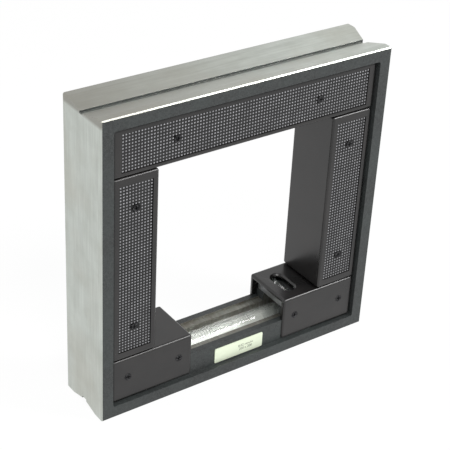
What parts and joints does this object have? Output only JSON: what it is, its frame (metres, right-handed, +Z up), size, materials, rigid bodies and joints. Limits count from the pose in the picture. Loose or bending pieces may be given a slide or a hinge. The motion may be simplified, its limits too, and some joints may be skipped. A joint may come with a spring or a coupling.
{
  "type": "square frame spirit level",
  "caption": "Square cast frame level with V-grooved ground faces, knurled black grips, a main vial in the lower bar and a cross vial under a sight slot",
  "frame": {"origin": "middle of the bottom measuring face", "axes": "+Z up, +X to the right seen from the front with the name plate, +Y to the back"},
  "size_m": [0.2, 0.0414, 0.2],
  "materials": {
    "cast_frame": "ground and painted",
    "black_plastic": "satin",
    "plate": "printed",
    "carrier": "satin",
    "white_bed": "matte",
    "packing": "matte",
    "vial_glass": "clear",
    "bubble": "clear",
    "steel": "satin",
    "brass": "satin",
    "screw_steel": "blackened"
  },
  "bodies": {
    "level_body": {"frame_casting": "cast_frame", "top_grip": "black_plastic", "left_grip": "black_plastic", "right_grip": "black_plastic", "left_end_cap": "black_plastic", "right_end_cap": "black_plastic", "name_plate": "plate", "pivot_pin": "steel", "adjusting_bridge": "steel", "cross_vial_saddle": "carrier", "cross_vial_glass": "vial_glass", "top_grip_screw_front_left": "screw_steel", "top_grip_screw_front_right": "screw_steel", "top_grip_screw_back_left": "screw_steel", "top_grip_screw_back_right": "screw_steel", "left_grip_screw_front_lower": "screw_steel", "left_grip_screw_front_upper": "screw_steel", "left_grip_screw_back_lower": "screw_steel", "left_grip_screw_back_upper": "screw_steel", "right_grip_screw_front_lower": "screw_steel", "right_grip_screw_front_upper": "screw_steel", "right_grip_screw_back_lower": "screw_steel", "right_grip_screw_back_upper": "screw_steel", "left_cap_screw_front_inner": "screw_steel", "left_cap_screw_front_outer": "screw_steel", "left_cap_screw_back_inner": "screw_steel", "left_cap_screw_back_outer": "screw_steel", "right_cap_screw_front_inner": "screw_steel", "right_cap_screw_front_outer": "screw_steel", "right_cap_screw_back_inner": "screw_steel", "right_cap_screw_back_outer": "screw_steel", "bridge_screw_front": "screw_steel", "bridge_screw_back": "screw_steel", "saddle_screw_front": "screw_steel", "saddle_screw_back": "screw_steel"},
    "vial_carrier_body": {"vial_carrier": "carrier", "vial_bed": "white_bed", "left_vial_packing": "packing", "right_vial_packing": "packing", "main_vial_glass": "vial_glass"},
    "adjusting_screw_body": {"adjusting_screw": "brass", "retaining_ring": "steel"},
    "main_bubble_body": {"main_bubble": "bubble"},
    "cross_bubble_body": {"cross_bubble": "bubble"}
  },
  "joints": [
    {"name": "adjusting_screw_turn", "type": "hinge", "parent": "level_body", "child": "adjusting_screw_body", "pos_m": [-0.054, 0, 0.028], "axis": [0, 0, 1], "range_deg": [-360, 360]},
    {"name": "carrier_tilt", "type": "hinge", "parent": "level_body", "child": "vial_carrier_body", "pos_m": [0.056, 0, 0.0127], "axis": [0, 1, 0], "range_deg": [-0.26, 0.26]},
    {"name": "main_bubble_slide", "type": "slide", "parent": "vial_carrier_body", "child": "main_bubble_body", "axis": [1, 0, 0], "range_m": [-0.02, 0.02]},
    {"name": "cross_bubble_slide", "type": "slide", "parent": "level_body", "child": "cross_bubble_body", "axis": [0, 1, 0], "range_m": [-0.006, 0.006]}
  ],
  "couplings": [
    {"joint": "adjusting_screw_turn", "follows": "carrier_tilt", "ratio": -1382.3}
  ]
}
